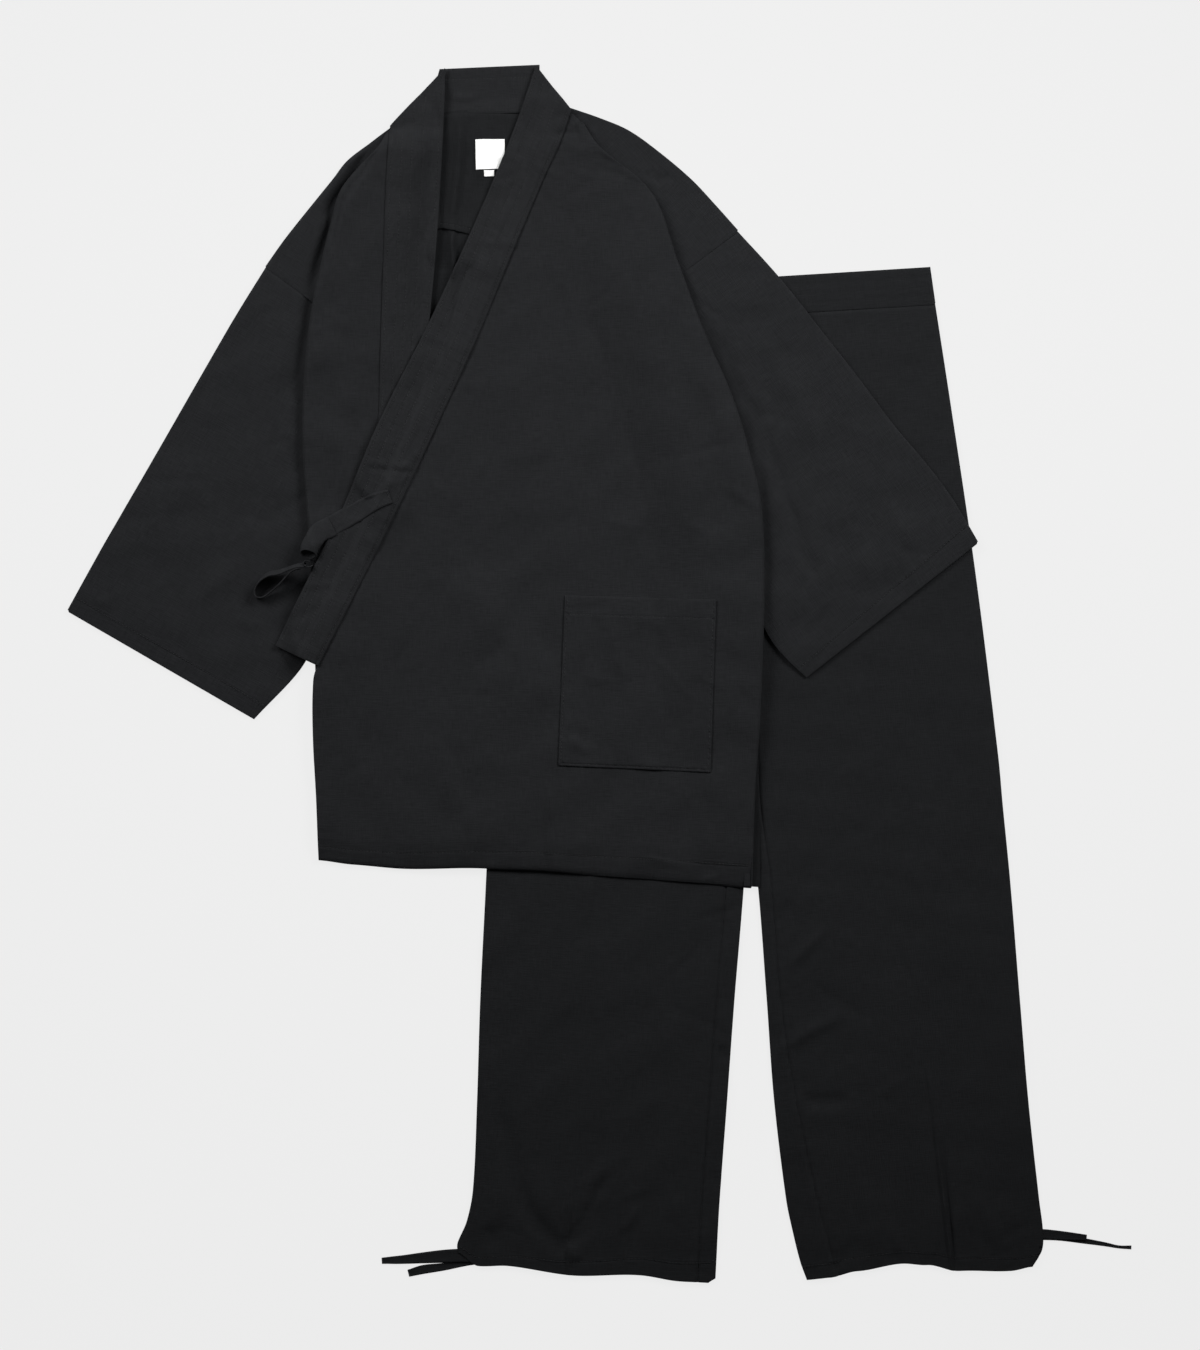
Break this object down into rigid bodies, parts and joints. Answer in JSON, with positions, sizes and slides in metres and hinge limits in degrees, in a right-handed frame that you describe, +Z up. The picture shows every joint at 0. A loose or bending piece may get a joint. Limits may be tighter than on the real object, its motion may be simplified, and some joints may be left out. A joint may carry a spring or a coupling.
{
  "type": "samue jacket and trousers laid flat",
  "caption": "Plain dark cotton samue set laid flat: wrap jacket with wide collar band, tie and hip pocket, over straight drawstring-hem trousers.",
  "frame": {"origin": "middle of the set's outline on the surface it lies on", "axes": "+X to the right as laid out, +Y from the trouser hems towards the collar, +Z up from the surface"},
  "size_m": [1.0218, 1.1668, 0.0155],
  "materials": {
    "jacket": "matt black slub cotton, plain weave",
    "trousers": "matt black slub cotton, plain weave",
    "label": "white woven tape, left blank"
  },
  "bodies": {
    "root": {"leg_right": "trousers", "leg_left": "trousers", "waistband": "trousers", "hem_tie_right_upper": "trousers", "hem_tie_right_lower": "trousers", "hem_tie_left_upper": "trousers", "hem_tie_left_lower": "trousers", "jacket_back": "jacket", "sleeve_right": "jacket", "sleeve_left": "jacket", "shoulder_right": "jacket", "shoulder_left": "jacket", "back_yoke": "jacket", "neck_label": "label", "label_tab": "label", "front_right": "jacket", "collar_back": "jacket", "collar_right": "jacket", "front_left": "jacket", "collar_left": "jacket", "pocket": "jacket", "tie_band": "jacket", "tie_knot": "jacket", "tie_loop": "jacket"}
  },
  "joints": []
}
